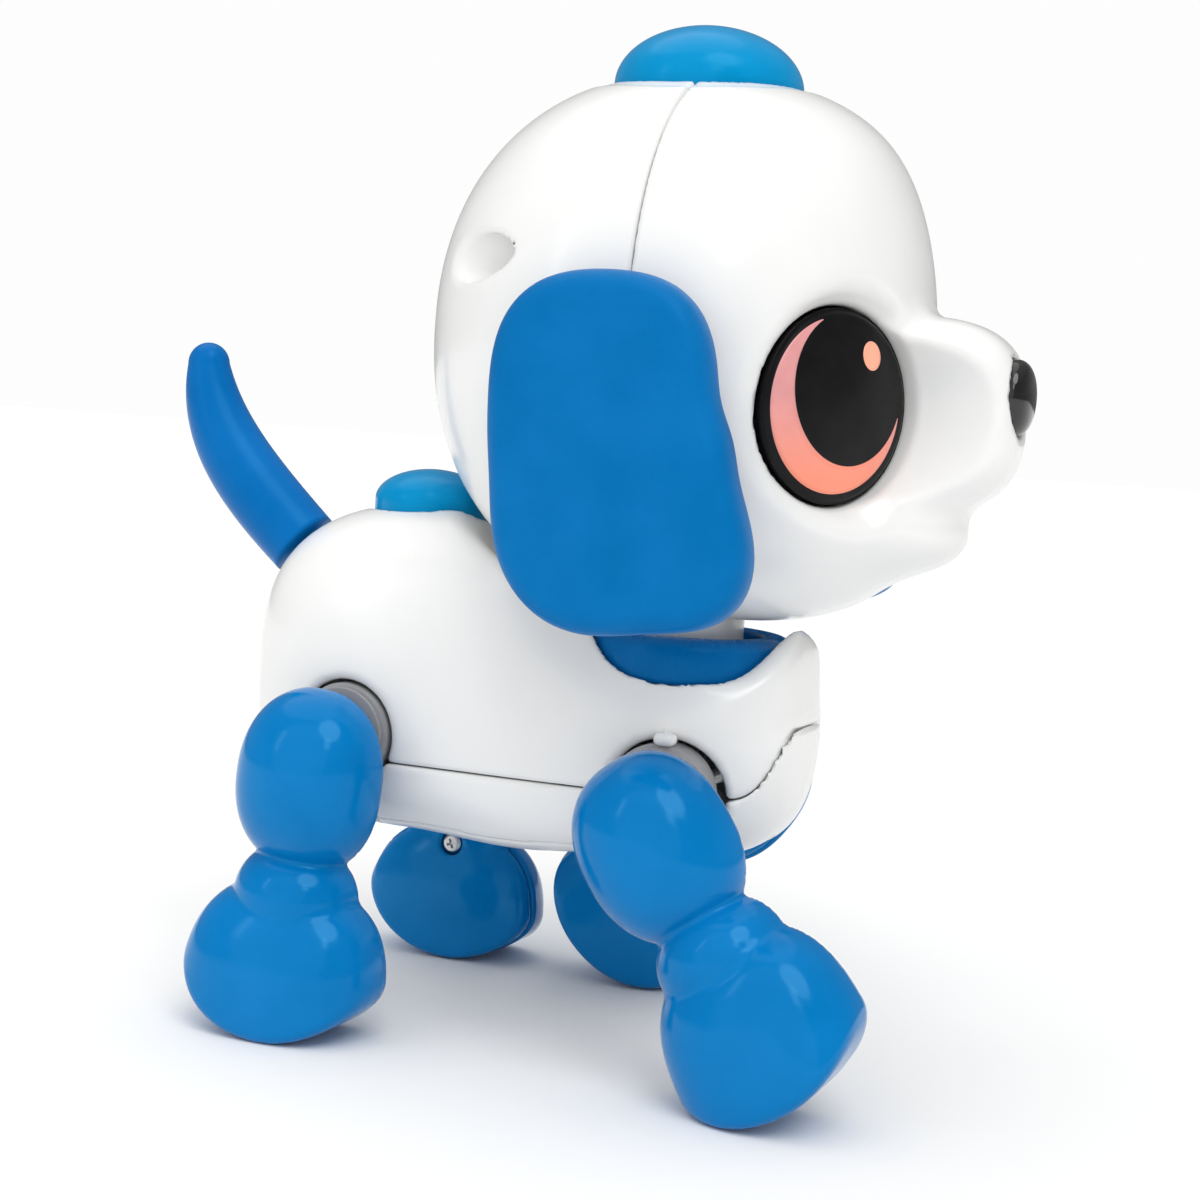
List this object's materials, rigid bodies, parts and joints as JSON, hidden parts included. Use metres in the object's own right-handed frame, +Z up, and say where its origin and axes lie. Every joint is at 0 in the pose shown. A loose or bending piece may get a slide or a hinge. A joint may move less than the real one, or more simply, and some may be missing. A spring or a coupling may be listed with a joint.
{
  "type": "robot dog toy",
  "caption": "Palm-size battery robot dog: white shell head and body, blue ears, collar, tail and swinging walking legs, round lit eyes and press buttons on crown and back.",
  "frame": {"origin": "middle of the footprint on the floor", "axes": "+X nose, +Y the dog's left, +Z up"},
  "size_m": [0.1374, 0.089, 0.1502],
  "materials": {
    "white_gloss_shell": "glossy moulded ABS",
    "ear_blue": "satin soft vinyl, fine grain",
    "button_blue": "glossy moulded plastic",
    "leg_blue": "glossy moulded polypropylene",
    "eye_black": "printed clear lens with a lit crescent",
    "nose_black": "glossy",
    "hub_grey": "satin",
    "gear_plastic": "acetal, satin",
    "steel": "plated",
    "black_plastic": "satin",
    "circuit_board": "green solder mask",
    "battery_jacket": "plain dark jacket"
  },
  "bodies": {
    "torso_and_head": {"head_front_shell": "white_gloss_shell", "head_rear_shell": "white_gloss_shell", "head_screw_1": "steel", "head_screw_2": "steel", "head_screw_3": "steel", "right_ear": "ear_blue", "left_ear": "ear_blue", "right_eye_lens": "eye_black", "left_eye_lens": "eye_black", "right_eye_led_board": "circuit_board", "left_eye_led_board": "circuit_board", "nose": "nose_black", "head_button_switch": "black_plastic", "head_board": "circuit_board", "speaker": "black_plastic", "microphone": "steel", "neck_stem": "white_gloss_shell", "collar": "ear_blue", "torso_top_shell": "white_gloss_shell", "torso_bottom_shell": "white_gloss_shell", "torso_screw_1": "steel", "torso_screw_2": "steel", "torso_screw_3": "steel", "tail": "leg_blue", "battery_door": "white_gloss_shell", "battery_door_screw": "steel", "battery_cell_1": "battery_jacket", "battery_cell_2": "battery_jacket", "battery_cell_3": "battery_jacket", "front_contact_plate": "steel", "rear_contact_plate": "steel", "back_button_switch": "black_plastic", "control_board": "circuit_board", "gear_motor": "steel", "front_hip_axle": "steel", "rear_hip_axle": "steel"},
    "right_front_leg": {"right_front_leg_outer": "leg_blue", "right_front_leg_inner": "leg_blue", "right_front_leg_screw": "steel", "right_front_leg_hub": "hub_grey"},
    "right_rear_leg": {"right_rear_leg_outer": "leg_blue", "right_rear_leg_inner": "leg_blue", "right_rear_leg_screw": "steel", "right_rear_leg_hub": "hub_grey"},
    "left_front_leg": {"left_front_leg_outer": "leg_blue", "left_front_leg_inner": "leg_blue", "left_front_leg_screw": "steel", "left_front_leg_hub": "hub_grey"},
    "left_rear_leg": {"left_rear_leg_outer": "leg_blue", "left_rear_leg_inner": "leg_blue", "left_rear_leg_screw": "steel", "left_rear_leg_hub": "hub_grey"},
    "head_button": {"head_button": "button_blue"},
    "back_button": {"back_button": "button_blue"},
    "power_switch": {"power_switch": "black_plastic"},
    "drive_train": {"drive_gear": "gear_plastic", "drive_shaft": "steel", "right_crank_disc": "hub_grey", "left_crank_disc": "hub_grey"},
    "motor_pinion": {"motor_pinion": "gear_plastic"}
  },
  "joints": [
    {"name": "right_front_leg_swing", "type": "hinge", "parent": "torso_and_head", "child": "right_front_leg", "pos_m": [0.0246, -0.0266, 0.0402], "axis": [0, 1, 0], "range_deg": [0, 69]},
    {"name": "right_rear_leg_swing", "type": "hinge", "parent": "torso_and_head", "child": "right_rear_leg", "pos_m": [-0.0254, -0.0266, 0.04356], "axis": [0, 1, 0], "range_deg": [0, 31.05]},
    {"name": "left_front_leg_swing", "type": "hinge", "parent": "torso_and_head", "child": "left_front_leg", "pos_m": [0.0246, 0.0266, 0.0402], "axis": [0, 1, 0], "range_deg": [-69, 0]},
    {"name": "left_rear_leg_swing", "type": "hinge", "parent": "torso_and_head", "child": "left_rear_leg", "pos_m": [-0.0254, 0.0266, 0.04356], "axis": [0, 1, 0], "range_deg": [-31.05, 0]},
    {"name": "head_button_press", "type": "slide", "parent": "torso_and_head", "child": "head_button", "axis": [0, 0, -1], "range_m": [0, 0.0015]},
    {"name": "back_button_press", "type": "slide", "parent": "torso_and_head", "child": "back_button", "axis": [0, 0, -1], "range_m": [0, 0.0012]},
    {"name": "power_switch_slide", "type": "slide", "parent": "torso_and_head", "child": "power_switch", "axis": [1, 0, 0], "range_m": [0, 0.003]},
    {"name": "drive_gear_turn", "type": "hinge", "parent": "torso_and_head", "child": "drive_train", "pos_m": [-0.025, 0, 0.0561], "axis": [0, 1, 0], "continuous": true},
    {"name": "motor_pinion_turn", "type": "hinge", "parent": "torso_and_head", "child": "motor_pinion", "pos_m": [-0.0124, 0.0138, 0.0561], "axis": [0, 1, 0], "continuous": true}
  ],
  "couplings": [
    {"joint": "left_front_leg_swing", "follows": "right_front_leg_swing", "ratio": -1},
    {"joint": "right_rear_leg_swing", "follows": "right_front_leg_swing", "ratio": 0.45},
    {"joint": "left_rear_leg_swing", "follows": "right_front_leg_swing", "ratio": -0.45},
    {"joint": "motor_pinion_turn", "follows": "drive_gear_turn", "ratio": -2.5}
  ]
}
